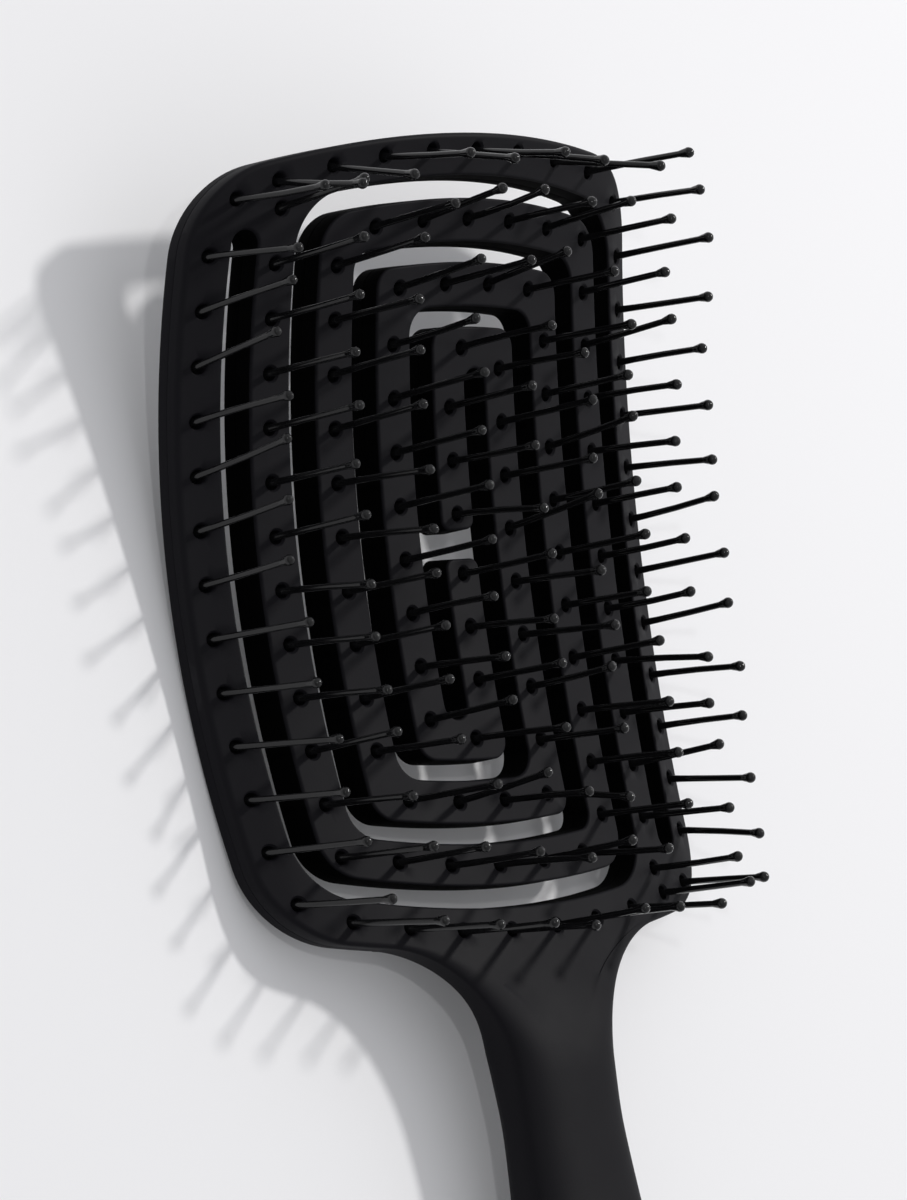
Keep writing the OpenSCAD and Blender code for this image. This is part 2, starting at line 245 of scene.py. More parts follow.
def bodyRim():
    # The head's rim with the neck and handle let into its foot. Each point has its distance
    # along the neck, 0 on the head, and the point of the handle's middle line that faces it.
    middle = (0.0, rimCentre)
    neckX = handle["waistWidth"] / 2 + handle["neckRadius"] + handle["waistEase"]
    big = headPlan["rimCrown"] + handle["neckRadius"]
    neck = (neckX, rimCentre - math.sqrt(big ** 2 - neckX ** 2))
    touch = onCircle(middle, neck, headPlan["rimCrown"])
    fillet = arc(neck, touch, (neck[0] - handle["neckRadius"], neck[1]), handle["filletStep"])[1:]
    side = [(q, (0.0, q[1])) for q in fillet]
    ys = np.linspace(neck[1], endStart, handle["sideSteps"])
    side += [((float(handleHalfWidth(y)), y), (0.0, y)) for y in ys]
    full = float(handleHalfWidth(endStart))
    for a in np.linspace(0, 90, handle["endSteps"])[1:]:
        t = math.sin(math.radians(a))
        close = math.sqrt(max(1 - t ** handle["endPower"], 0))
        side.append(((full * close, endStart - handle["endLength"] * t), (0.0, endStart)))
    foot, gap = headPlan["footBelow"], handle["joinGap"]
    rim = [(q, None, 0.0) for q in headRim() if not (q[1] < foot and abs(q[0]) < touch[0] - gap / 2)]
    cut = next(i for i, q in enumerate(rim) if q[0][1] < foot and q[0][0] < 0)
    run, last, right = 0.0, touch, []
    for q, c in side:
        run += math.dist(last, q)
        last = q
        right.append((q, c, run))
    left = [((-q[0], q[1]), c, s) for q, c, s in right[:-1]][::-1]
    other = (-touch[0], touch[1])
    before = [r for r in rim[:cut] if math.dist(r[0], touch) > gap] + [(touch, None, 0.0)]
    after = [(other, None, 0.0)] + [r for r in rim[cut:] if math.dist(r[0], other) > gap]
    return before + right + left + after


def inward(loop):  # unit normals to the right of the way the loop runs
    d = np.roll(loop, -1, 0) - np.roll(loop, 1, 0)
    d /= np.linalg.norm(d, axis=1)[:, None]
    return np.stack([d[:, 1], -d[:, 0]], 1)


def inside(points, loops):  # even-odd test, 2000 points at a time to save memory
    hit = np.zeros(len(points), bool)
    for loop in loops:
        a, b = loop, np.roll(loop, -1, 0)
        rise = np.where(np.abs(b[:, 1] - a[:, 1]) < 1e-12, 1e-12, b[:, 1] - a[:, 1])
        for i in range(0, len(points), 2000):
            x, y = points[i:i + 2000, 0, None], points[i:i + 2000, 1, None]
            over = (a[:, 1] > y) != (b[:, 1] > y)
            left = x < (b[:, 0] - a[:, 0]) * (y - a[:, 1]) / rise + a[:, 0]
            hit[i:i + 2000] ^= (over & left).sum(1) % 2 == 1
    return hit


class Build:  # gathers points and faces of one closed piece
    def __init__(self):
        self.points, self.faces, self.finishes = [], [], []
        self.finish = 0  # 0 is the outside, 1 the walls of the slots, which carry a painted shade

    def add(self, faces):
        self.faces += faces
        self.finishes += [self.finish] * len(faces)

    def ring(self, xy, z):
        start = len(self.points)
        heights = np.broadcast_to(z, len(xy))
        self.points += [(float(a[0]), float(a[1]), float(h)) for a, h in zip(xy, heights)]
        return list(range(start, len(self.points)))

    def strip(self, a, b):
        n = len(a)
        self.add([(a[i], a[(i + 1) % n], b[(i + 1) % n], b[i]) for i in range(n)])

    def stack(self, rings):
        for a, b in zip(rings, rings[1:]):
            self.strip(a, b)

    def fill(self, rings, height, spacing, seams=()):
        # triangles between an outline and its holes, over a grid laid on the face; seams are lines
        # of points that the triangles have to follow
        loops = [np.array([self.points[i][:2] for i in ring]) for ring in rings]
        ids = [i for ring in rings for i in ring]
        edges, base = [], 0
        for ring in rings:
            n = len(ring)
            edges += [(base + i, base + (i + 1) % n) for i in range(n)]
            base += n
        place = {i: k for k, i in enumerate(ids)}
        for seam in seams:
            for i in seam:
                if i not in place:
                    place[i] = len(ids)
                    ids.append(i)
            edges += [(place[a], place[b]) for a, b in zip(seam, seam[1:])]
        border = np.array([self.points[i][:2] for i in ids])
        lo, hi = border.min(0), border.max(0)
        rows = np.arange(lo[1], hi[1], spacing * 0.866)  # rows of even triangles
        grid = np.array([(x + (spacing / 2 if k % 2 else 0), y) for k, y in enumerate(rows)
                         for x in np.arange(lo[0], hi[0], spacing)])
        grid = grid[inside(grid, loops)]
        keep = np.ones(len(grid), bool)
        for i in range(0, len(grid), 500):
            part = grid[i:i + 500]
            gap = ((part[:, None, :] - border[None]) ** 2).sum(2).min(1)
            keep[i:i + 500] = gap > (0.6 * spacing) ** 2  # none close to an edge
        grid = grid[keep]
        new = self.ring(grid, height(grid[:, 0], grid[:, 1])) if len(grid) else []
        ids += new
        flat = [Vector(p) for p in np.concatenate([border, grid]).tolist()]
        verts, _, faces, origin, *_ = delaunay_2d_cdt(flat, edges, [], 0, 1e-7, True)
        tri = np.array([f for f in faces if len(f) == 3])
        middle = np.array([v[:] for v in verts])[tri].mean(1)
        good = inside(middle, loops)
        back = [ids[o[0]] if o else None for o in origin]
        self.add([tuple(back[i] for i in t) for t in tri[good] if None not in [back[i] for i in t]])

    def obj(self, name, sharp=38):
        mesh = bpy.data.meshes.new(name)
        mesh.from_pydata([tuple(p) for p in toRow(self.points)], [], self.faces)
        mesh.polygons.foreach_set("material_index", self.finishes)
        work = bmesh.new()
        work.from_mesh(mesh)
        bmesh.ops.remove_doubles(work, verts=work.verts, dist=1e-7)
        bmesh.ops.dissolve_degenerate(work, dist=1e-8, edges=work.edges)
        bmesh.ops.recalc_face_normals(work, faces=work.faces)
        loose = [v for v in work.verts if not v.link_faces]
        bmesh.ops.delete(work, geom=loose, context="VERTS")
        openEdges = sum(1 for e in work.edges if len(e.link_faces) != 2)
        work.to_mesh(mesh)
        work.free()
        mesh.shade_smooth()
        mesh.set_sharp_from_angle(angle=math.radians(sharp))
        made = bpy.data.objects.new(name, mesh)
        scene.collection.objects.link(made)
        print(f"{name}: {len(mesh.vertices)} points, {len(mesh.polygons)} faces, {openEdges} open edges")
        return made


roundOver = [math.radians(15 * k) for k in range(7)]  # angles round an edge, from its side to its face


# Places of the pins and pegs. The small lengths below shift the ends of a row along its strip.
pinPlan = {"columnPitch": 7.7, "rowPitch": 9.2, "railTurn": 0.5, "railTurnFrom": 0.8}
pinNudge = {"pins_rail_left": -0.7, "pins_crown": 0.3}  # along the head


def columnPins(x, first, last):
    return [(columnX(x, y), y) for y in np.arange(first, last - 1e-9, -pinPlan["columnPitch"])]


def rowPins(y, first, last):
    return [(float(x), rowY(y, x)) for x in np.arange(first, last + 1e-9, pinPlan["rowPitch"])]


p = pitch
rail = [(x + pinPlan["railTurn"] * max(abs(y) - rootY + pinPlan["railTurnFrom"], 0), y)
        for x, y in columnPins(-4 * p, rootY + 4.7, -rootY - 2)]
crown = rowPins(headPlan["halfLength"] - headPlan["endFrame"] / 2 + 0.2, -3 * p + 1.6, 3 * p)
armPins = {
    "outer_column": columnPins(-3 * p, outerStripY + 2.6, -outerStripY + 2),
    "outer_row": rowPins(-outerStripY, -2 * p, 2 * p - 4),
    "middle_column": columnPins(2 * p, middleStripY - 8.6, -outerStripY + 5),
    "middle_row": rowPins(middleStripY, -p + 1.5, 2 * p - 4),
    "inner_column": columnPins(-p, middleStripY - 8.3, -innerStripY + 2),
    "tip": [(-p / 4, -innerStripY)] + columnPins(0.001, -headPlan["tipGap"] / 2 - 2.2, -innerStripY + 7),
}
pinGroups = {"pins_rail_left": rail, "pins_rail_right": halfTurn(rail), "pins_crown": crown,
             "pins_foot": halfTurn(crown)}
pinGroups.update({"pins_arm_a_" + group: places for group, places in armPins.items()})
pinGroups.update({"pins_arm_b_" + group: halfTurn(places) for group, places in armPins.items()})
for group, dy in pinNudge.items():
    pinGroups[group] = [(x, y + dy) for x, y in pinGroups[group]]
allPins = [q for places in pinGroups.values() for q in places]


def midway(places, i):
    return ((places[i][0] + places[i + 1][0]) / 2, (places[i][1] + places[i + 1][1]) / 2)


halfPegs = [midway(rail, 2), midway(rail, 9), midway(crown, 3), midway(armPins["outer_column"], 6),
            midway(armPins["middle_column"], 5), midway(armPins["inner_column"], 3)]
pegPlaces = halfPegs + halfTurn(halfPegs)


def circle(place, r, n):  # run clockwise, as the holes' loops have to
    a = np.arange(n) * 2 * math.pi / n
    return np.stack([place[0] + r * np.cos(a), place[1] - r * np.sin(a)], 1)


# front shell with neck and handle, one moulding
frontShell = {"depth": 2.9, "rimRound": 0.8, "slotRound": 0.38, "parting": 0.1, "rings": 9, "landing": 0.08,
              "holeRadius": 1.05, "holeBreak": 0.3, "wall": 1.4, "seatRadius": 1.6, "seatSides": 16,
              "socketRadius": 1.1, "socketFloor": 0.4, "socketDepth": 1.7, "pegSides": 14, "neckInset": 0.9,
              "ovalStop": 3.0, "stepOut": 0.02, "stepIn": 0.03, "stepEnds": 1.2, "stepPoints": 24,
              "spacing": 1.6, "lowSpacing": 2.4}


def oval(turn, power):  # how far in, and how far down, a point of a rounded side lies
    return (1 - np.cos(turn) ** (2 / power))[:, None], 1 - np.sin(turn) ** (2 / power)


def makeFrontShell():
    s = frontShell
    b = Build()
    rim = bodyRim()
    xy = np.array([r[0] for r in rim])
    run = np.array([r[2] for r in rim])
    neck = np.array([r[1] is not None for r in rim])
    centre = np.array([r[1] if r[1] is not None else r[0] for r in rim])
    n = inward(xy)
    # the rounded rim of the head grows along the neck into the half oval of the handle's section
    blend = np.where(neck, smooth(run / handle["ovalAfter"]), 0)
    far = blend[:, None]
    across = np.minimum(far, handle["sideReach"]) * (centre - xy)  # the two sides stop short of each other
    reachTop = (1 - far) * n * s["rimRound"] + across
    top, bottom = neckTop(xy[:, 0], xy[:, 1]), neckBottom(xy[:, 0], xy[:, 1])
    drop = (1 - blend) * s["rimRound"] + blend * (top - bottom) / 2
    power = 2 + (handle["sectionPower"] - 2) * blend
    turn = np.radians(90 - s["ovalStop"] * blend)
    rings, low = [], []
    for k in range(s["rings"] + 1):
        u, v = oval(turn * k / s["rings"], power)
        q = xy + reachTop * u
        ceiling = neckTop(q[:, 0], q[:, 1])
        # on the handle the rim's own height rules, so that each section is a true oval
        level = np.where(neck, (1 - blend) * ceiling + blend * neckTop(q[:, 0] * 0, q[:, 1]), ceiling)
        rings.append(b.ring(q, level - drop * v))
    q = xy + np.where(neck[:, None], reachTop * 1.004, reachTop + n * s["landing"])
    rings.append(b.ring(q, neckTop(q[:, 0], q[:, 1])))

    # the underside: flat parting face on the head, the other half of the oval on the handle
    foot = np.array([0.0, rimCentre])
    stepRadius = headPlan["rimCrown"] + s["stepOut"]
    along = np.stack([-np.sign(xy[:, 0]), 0 * xy[:, 0]], 1)
    reachLow = (1 - far) * along * s["neckInset"] + across
    for k in range(s["rings"] + 1):
        u, v = oval(turn * k / s["rings"], power)
        q = xy + reachLow * u
        away = q - foot
        dist = np.linalg.norm(away, axis=1)[:, None]  # the neck's underside ends where the cover begins
        q = np.where((dist < stepRadius) & neck[:, None], foot + away / dist * stepRadius, q)
        floorZ = (1 - blend) * neckBottom(q[:, 0], q[:, 1]) + blend * neckBottom(q[:, 0] * 0, q[:, 1])
        # on the head only a small chamfer shows, and the rings inside it lie close together
        inset = 0 if k == 0 else s["parting"] * (0.6 + 0.4 * k / s["rings"]) * (1 if k == 1 else 1.9)
        qHead = xy + n * inset
        zHead = faceZ(qHead[:, 0], qHead[:, 1], s["depth"]) + (s["parting"] if k == 0 else 0)
        q = np.where(neck[:, None], q, qHead)
        low.append(b.ring(q, np.where(neck, floorZ + drop * v, zHead)))
    b.stack(rings)
    b.strip(rings[0], low[0])
    b.stack(low)

    slot = slotLoop()
    m = inward(slot)
    slotTop, slotLow = [], []
    for a in roundOver:
        q = slot + m * s["slotRound"] * (1 - math.cos(a))
        slotTop.append(b.ring(q, faceZ(q[:, 0], q[:, 1]) - s["slotRound"] * (1 - math.sin(a))))
    q = slot + m * (s["slotRound"] + s["landing"])
    slotTop.append(b.ring(q, faceZ(q[:, 0], q[:, 1])))
    draft = headPlan["slotDraft"] * s["depth"] / headPlan["thickness"]
    for inset, up in ((-draft, s["parting"]), (s["parting"] - draft, 0)):
        q = slot + m * inset
        slotLow.append(b.ring(q, faceZ(q[:, 0], q[:, 1], s["depth"]) + up))
    b.stack(slotTop)
    # the slot walls take the material with the painted shade
    b.finish = 1
    b.strip(slotTop[0], slotLow[0])
    b.stack(slotLow)
    b.finish = 0

    topHoles, lowHoles = [], []
    for place in allPins:
        z = float(faceZ(*place))
        mouth = circle(place, s["holeRadius"] + s["holeBreak"], s["seatSides"])
        bore = circle(place, s["holeRadius"], s["seatSides"])
        seat = circle(place, s["seatRadius"], s["seatSides"])
        stack = [b.ring(mouth, faceZ(mouth[:, 0], mouth[:, 1])),
                 b.ring(bore, faceZ(bore[:, 0], bore[:, 1]) - s["holeBreak"]),
                 b.ring(bore, z - s["wall"]), b.ring(seat, z - s["wall"]),
                 b.ring(seat, faceZ(seat[:, 0], seat[:, 1], s["depth"]))]
        b.stack(stack)
        topHoles.append(stack[0])
        lowHoles.append(stack[-1])
    for place in pegPlaces:
        z = float(faceZ(*place, s["depth"])) + s["socketDepth"]
        mouth = circle(place, s["socketRadius"], s["pegSides"])
        stack = [b.ring(mouth, faceZ(mouth[:, 0], mouth[:, 1], s["depth"])), b.ring(mouth, z),
                 b.ring(circle(place, s["socketFloor"], s["pegSides"]), z)]
        b.stack(stack)
        b.add([tuple(stack[-1])])
        lowHoles.append(stack[0])
    b.fill([rings[-1], slotTop[-1]] + topHoles, neckTop, s["spacing"])

    # the small step at the foot of the head, where the back cover ends, as two seams side by side
    first = int(np.argmax(neck))
    last = len(rim) - 1 - int(np.argmax(neck[::-1]))

    def onStep(i):
        x, y, _ = b.points[low[-1][i]]
        return math.hypot(x, y - rimCentre) < stepRadius + 0.001

    start, stop = first, last
    while onStep(start + 1):
        start += 1
    while onStep(stop - 1):
        stop -= 1
    seams = []
    for r, i, j in ((headPlan["rimCrown"] - s["stepIn"], first - 1, last + 1), (stepRadius, start, stop)):
        reach = abs(b.points[low[-1][i]][0]) - s["stepEnds"]
        x = np.linspace(reach, -reach, s["stepPoints"])
        q = np.stack([x, rimCentre - np.sqrt(r * r - x * x)], 1)
        z = faceZ(q[:, 0], q[:, 1], s["depth"]) if i < first else neckBottom(q[:, 0], q[:, 1])
        seams.append([low[-1][i]] + b.ring(q, z) + [low[-1][j]])

    def under(x, y):
        onHead = np.hypot(x, y - rimCentre) < headPlan["rimCrown"]
        return np.where(onHead, faceZ(x, np.maximum(y, handle["faceEnd"]), s["depth"]), neckBottom(x, y))

    b.fill([low[-1], slotLow[-1]] + lowHoles, under, s["lowSpacing"], seams)
    return b.obj("frontShell")


# the plate that closes the head from behind
backCover = {"top": 2.9, "bottom": 5.0, "rimRound": 0.75, "footRound": 0.25, "slotRound": 0.2,
             "parting": 0.1, "landing": 0.08, "spacing": 1.9, "neckClear": 0.14, "clearFrom": 22.0,
             "clearOver": 6.0, "roundFrom": 27.0, "roundGrows": 11.0,
             "pegRadius": 1.0, "pegLength": 1.6, "pegBreak": 0.25, "pegEnd": 0.3, "pegSides": 14}


def makeBackCover():
    s = backCover
    b = Build()
    rim = np.array(headRim())
    n = inward(rim)
    aside = np.where(rim[:, 1] < headPlan["footBelow"], np.abs(rim[:, 0]), 99)  # 99 is away from the foot
    clear = s["neckClear"] * (1 - smooth((aside - s["clearFrom"]) / s["clearOver"]))
    rim += n * clear[:, None]
    grown = smooth((aside - s["roundFrom"]) / s["roundGrows"])[:, None]
    rimRound = s["footRound"] + (s["rimRound"] - s["footRound"]) * grown
    slot = slotLoop()
    tops, lows = [], []
    for loop, soft in ((rim, rimRound), (slot, np.full((len(slot), 1), s["slotRound"]))):
        n = inward(loop)
        draft = headPlan["slotDraft"] if loop is slot else 0
        upper, lower = loop - n * draft * s["top"] / headPlan["thickness"], loop - n * draft
        stack = []
        for inset, down in ((s["parting"], 0), (0, s["parting"])):
            q = upper + n * inset
            stack.append(b.ring(q, faceZ(q[:, 0], q[:, 1], s["top"]) - down))
        for a in roundOver:
            q = lower + n * soft * (1 - math.cos(a))
            stack.append(b.ring(q, faceZ(q[:, 0], q[:, 1], s["bottom"]) + soft[:, 0] * (1 - math.sin(a))))
        q = lower + n * (soft + s["landing"])
        stack.append(b.ring(q, faceZ(q[:, 0], q[:, 1], s["bottom"])))
        # the slot walls take the material with the painted shade
        b.finish = int(loop is slot)
        b.stack(stack)
        b.finish = 0
        tops.append(stack[0])
        lows.append(stack[-1])
    for place in pegPlaces:
        z = float(faceZ(*place, s["top"])) + s["pegLength"]
        base, upper, end = (circle(place, r, s["pegSides"])
                            for r in (s["pegRadius"], s["pegRadius"] - s["pegBreak"], s["pegEnd"]))
        stack = [b.ring(base, faceZ(base[:, 0], base[:, 1], s["top"])), b.ring(base, z - s["pegBreak"]),
                 b.ring(upper, z), b.ring(end, z)]
        b.stack(stack)
        b.add([tuple(stack[-1])])
        tops.append(stack[0])
    b.fill(tops, lambda x, y: faceZ(x, y, s["top"]), s["spacing"])
    b.fill(lows, lambda x, y: faceZ(x, y, s["bottom"]), s["spacing"])
    return b.obj("backCover")


# one pin: foot in its seat, thin rod, ball tip
pin = {"length": 17.4, "radius": 0.47, "rootRadius": 0.53, "ball": 0.8, "taperFrom": 14.9, "taperTo": -25,
       "footRadius": 1.5, "footDepth": 0.9, "seat": 1.45, "sides": 18, "wobble": 2.2, "sideShare": 0.8,
       "leanLeast": -11.0, "leanMost": 16.0, "bend": 0.12, "seed": 40}


def pinProfile():  # radius and height of each ring, from the foot up to the ball
    s = pin
    centre = s["length"] - s["ball"]
    foot = -s["seat"] - s["footDepth"]
    line = [(s["footRadius"] - 0.15, foot), (s["footRadius"], foot + 0.15),
            (s["footRadius"], -s["seat"] - 0.12), (s["footRadius"] - 0.12, -s["seat"]),
            (s["rootRadius"] + 0.2, -s["seat"]),
            (s["rootRadius"], -s["seat"] + 0.35), (s["radius"] + 0.02, 3.0), (s["radius"], 9.0)]
    low = math.radians(s["taperTo"])
    wide, high = s["ball"] * math.cos(low), centre + s["ball"] * math.sin(low)
    for t in (0, 0.08, 0.3, 0.65):  # the drop below the ball
        line.append((s["radius"] + (wide - s["radius"]) * (t * t * 2.5 if t < 0.2 else t),
                     s["taperFrom"] + (high - s["taperFrom"]) * t))
    for a in range(s["taperTo"], 85, 12):
        line.append((s["ball"] * math.cos(math.radians(a)), centre + s["ball"] * math.sin(math.radians(a))))
    return line


def leanOf(group, x, y):
    # Degrees towards +X and +Y, read row by row from the photograph: the crown leans in, and out to
    # the right at its right end, and the left rail leans up along its upper half.
    away = x / headPlan["halfWidth"]
    up = y / headPlan["halfLength"]
    if group == "pins_crown":
        outwards, upright = float(smooth((x - 12) / 12)), float(smooth((x - 18) / 16))
        return -1.0 + 17.0 * outwards, -10.0 + 15.0 * upright
    if group == "pins_rail_left":
        corner = float(smooth((y - 43) / 8))
        rise = float(smooth((43 - y) / 9) * smooth((y + 30) / 60))
        return 5.0 - 4.0 * up + 5.0 * corner, -1.0 - 4.0 * corner + 10.0 * rise
    if group == "pins_rail_right":
        return 0.5 + 4.5 * up, 2.5 * up
    return 1.5 - 1.0 * away, 3.0 * up + 2.0


def makePins(group, places, chance):
    s = pin
    mesh = bpy.data.meshes.new(group)
    work = bmesh.new()
    line = pinProfile()
    angles = np.arange(s["sides"]) * 2 * math.pi / s["sides"]
    for x, y in places:
        leanX, leanY = leanOf(group, x, y)
        leanX += chance.gauss(0, s["wobble"]) * s["sideShare"]
        leanY += chance.gauss(0, s["wobble"])
        leanX, leanY = (max(s["leanLeast"], min(s["leanMost"], v)) for v in (leanX, leanY))
        spin = chance.uniform(0, 6.28)
        bendX, bendY = chance.gauss(0, s["bend"]), chance.gauss(0, s["bend"])
        z0 = float(faceZ(x, y))
        pivot = Vector((x, y, z0 - s["seat"]))
        turn = Matrix.Rotation(math.radians(leanX), 3, "Y") @ Matrix.Rotation(-math.radians(leanY), 3, "X")
        rings = []
        for r, z in line:
            up = max(z + s["seat"], 0.0) / s["length"]
            off = Vector((bendX * up ** 2 * 3, bendY * up ** 2 * 3, 0))
            ring = []
            for a in angles:
                q = Vector((r * math.cos(a + spin), r * math.sin(a + spin), z + s["seat"])) + off
                if z > -s["seat"] + 0.01:  # the foot stays square in its seat
                    q = turn @ q
                ring.append(pivot + q)
            rings.append(ring)
        tip = pivot + turn @ Vector((bendX * 3.5, bendY * 3.5, s["length"] + s["seat"]))
        low = pivot + Vector((0, 0, -s["footDepth"]))
        verts = [work.verts.new(tuple(v)) for v in toRow([p[:] for ring in rings for p in ring])]
        n = s["sides"]
        for k in range(len(rings) - 1):
            for i in range(n):
                j = (i + 1) % n
                corners = k * n + i, k * n + j, (k + 1) * n + j, (k + 1) * n + i
                work.faces.new([verts[c] for c in corners])
        tipV, lowV = (work.verts.new(tuple(toRow([q[:]])[0])) for q in (tip, low))
        top = (len(rings) - 1) * n
        for i in range(n):  # close both ends
            j = (i + 1) % n
            work.faces.new((verts[top + i], verts[top + j], tipV))
            work.faces.new((verts[j], verts[i], lowV))
    bmesh.ops.recalc_face_normals(work, faces=work.faces)
    work.to_mesh(mesh)
    work.free()
    mesh.shade_smooth()
    mesh.set_sharp_from_angle(angle=math.radians(50))
    made = bpy.data.objects.new(group + "Set", mesh)
    scene.collection.objects.link(made)
    return made


def newGroup(name, inputs, outputs):
    tree = bpy.data.node_groups.new(name, "ShaderNodeTree")
    for label, kind, value in inputs:
        socket = tree.interface.new_socket(name=label, in_out="INPUT", socket_type=kind)
        socket.default_value = value
    for label, kind in outputs:
        tree.interface.new_socket(name=label, in_out="OUTPUT", socket_type=kind)
    return tree, tree.nodes.new("NodeGroupInput"), tree.nodes.new("NodeGroupOutput")


def node(tree, kind, settings=None, values=None):
    made = tree.nodes.new(kind)
    for key, value in (settings or {}).items():
        setattr(made, key, value)
    for key, value in (values or {}).items():
        made.inputs[key].default_value = value
    return made


def mouldedGrain():
    # fine spark texture of a moulded face: a height for bump, and a soft mottle for colour and gloss
    tree, given, out = newGroup(
        "mouldedGrain", [("Scale", "NodeSocketFloat", 4000.0), ("Cloud", "NodeSocketFloat", 60.0)],
        [("Height", "NodeSocketFloat"), ("Mottle", "NodeSocketFloat")])
    where = node(tree, "ShaderNodeTexCoord")
    fine = node(tree, "ShaderNodeTexNoise", values={"Detail": 3.0, "Roughness": 0.6})
    cloud = node(tree, "ShaderNodeTexNoise", values={"Detail": 4.0, "Roughness": 0.55})
    link = tree.links.new
    link(where.outputs["Object"], fine.inputs["Vector"])
    link(where.outputs["Object"], cloud.inputs["Vector"])
    link(given.outputs["Scale"], fine.inputs["Scale"])
    link(given.outputs["Cloud"], cloud.inputs["Scale"])
    link(fine.outputs["Fac"], out.inputs["Height"])
    link(cloud.outputs["Fac"], out.inputs["Mottle"])
    return tree


def edgeRub():
    # where handling has polished the edges
    tree, given, out = newGroup(
        "edgeRub", [("Width", "NodeSocketFloat", 0.53), ("Breakup", "NodeSocketFloat", 400.0)],
        [("Mask", "NodeSocketFloat")])
    shape = node(tree, "ShaderNodeNewGeometry")
    where = node(tree, "ShaderNodeTexCoord")
    noise = node(tree, "ShaderNodeTexNoise", values={"Detail": 5.0})
    over = node(tree, "ShaderNodeMath", {"operation": "SUBTRACT"})
    gain = node(tree, "ShaderNodeMath", {"operation": "MULTIPLY", "use_clamp": True}, {1: 14.0})
    mix = node(tree, "ShaderNodeMath", {"operation": "MULTIPLY", "use_clamp": True})
    link = tree.links.new
    link(where.outputs["Object"], noise.inputs["Vector"])
    link(given.outputs["Breakup"], noise.inputs["Scale"])
    link(shape.outputs["Pointiness"], over.inputs[0])
    link(given.outputs["Width"], over.inputs[1])
    link(over.outputs[0], gain.inputs[0])
    link(gain.outputs[0], mix.inputs[0])
    link(noise.outputs["Fac"], mix.inputs[1])
    link(mix.outputs[0], out.inputs["Mask"])
    return tree


grainGroup, rubGroup = mouldedGrain(), edgeRub()


def plastic(name, s):
    mat = bpy.data.materials.new(name)
    mat.use_nodes = True
    tree = mat.node_tree
    link = tree.links.new
    shader = tree.nodes["Principled BSDF"]
    shader.inputs["Specular IOR Level"].default_value = s["specular"]
    shader.inputs["IOR"].default_value = s["ior"]
    grain = node(tree, "ShaderNodeGroup", {"node_tree": grainGroup},
                 {"Scale": s["grain"], "Cloud": s["cloud"]})
    rub = node(tree, "ShaderNodeGroup", {"node_tree": rubGroup},
               {"Width": s["rubFrom"], "Breakup": s["rubBreak"]})
    colour = node(tree, "ShaderNodeMix", {"data_type": "RGBA"}, {6: s["dark"], 7: s["light"]})
    worn = node(tree, "ShaderNodeMix", {"data_type": "RGBA"}, {7: s["rubbed"]})
    link(grain.outputs["Mottle"], colour.inputs[0])
    link(colour.outputs[2], worn.inputs[6])
    link(rub.outputs["Mask"], worn.inputs[0])
    link(worn.outputs[2], shader.inputs["Base Color"])
    rough = node(tree, "ShaderNodeMapRange",
                 values={"From Min": 0.3, "From Max": 0.7, "To Min": s["rough"][0], "To Max": s["rough"][1]})
    polish = node(tree, "ShaderNodeMath", {"operation": "MULTIPLY"}, {1: s["polish"]})
    final = node(tree, "ShaderNodeMath", {"operation": "SUBTRACT", "use_clamp": True})
    link(grain.outputs["Mottle"], rough.inputs["Value"])
    link(rub.outputs["Mask"], polish.inputs[0])
    link(rough.outputs["Result"], final.inputs[0])
    link(polish.outputs[0], final.inputs[1])
    link(final.outputs[0], shader.inputs["Roughness"])
    bump = node(tree, "ShaderNodeBump", values={"Strength": s["bump"], "Distance": s["bumpDepth"]})
    link(grain.outputs["Height"], bump.inputs["Height"])
    link(bump.outputs["Normal"], shader.inputs["Normal"])
    return mat


shellLook = {"dark": (0.0038, 0.0036, 0.0052, 1), "light": (0.0062, 0.0058, 0.0080, 1),
             "rubbed": (0.014, 0.0135, 0.016, 1), "specular": 0.12, "ior": 1.48, "grain": 3600.0,
             "cloud": 45.0, "rough": (0.56, 0.66), "polish": 0.1, "bump": 0.25, "bumpDepth": 0.00006,
             "rubFrom": 0.54, "rubBreak": 500.0}
# the walls of the slots get a painted shade: a deeper black colour and a weaker reflection stand in for the
# little light that comes back out of them
slotWallPaintedShadeLook = dict(shellLook, dark=(0.0008, 0.0008, 0.001, 1), light=(0.0013, 0.0013, 0.0015, 1),
                rubbed=(0.0015, 0.0015, 0.0016, 1), specular=0.03, rough=(0.75, 0.85))
pinLook = {"dark": (0.004, 0.004, 0.0045, 1), "light": (0.007, 0.007, 0.0075, 1),
           "rubbed": (0.012, 0.012, 0.013, 1), "specular": 0.34, "ior": 1.53, "grain": 9000.0,
           "cloud": 300.0, "rough": (0.1, 0.15), "polish": 0.03, "bump": 0.06, "bumpDepth": 0.00002,
           "rubFrom": 0.56, "rubBreak": 900.0}
shellPlastic = plastic("matteBlackPlastic", shellLook)
# same plastic as the shell, with painted shade for the slot walls
slotWallPaintedShade = plastic("slotWallPaintedShadePlastic", slotWallPaintedShadeLook)
pinNylon = plastic("glossBlackNylon", pinLook)

shellPiece = makeFrontShell()
coverPiece = makeBackCover()
for piece, nodes in ((shellPiece, ("front_shell", "handle")), (coverPiece, ("back_cover",))):
    piece.data.materials.append(shellPlastic)
    # second material: the painted shade of the slot walls
    piece.data.materials.append(slotWallPaintedShade)
    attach(piece, "root")
    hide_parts(*nodes)
print("shells are in place")

for number, (group, places) in enumerate(pinGroups.items()):
    piece = makePins(group, places, random.Random(pin["seed"] + number))
    piece.data.materials.append(pinNylon)
    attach(piece, "root")
    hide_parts(group)
print("pins are in place:", len(allPins))

# the CAD nodes that the pieces stand for keep a proper finish as well
for name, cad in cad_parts.items():
    cad.data.materials.clear()
    cad.data.materials.append(pinNylon if name.startswith("pins_") else shellPlastic)

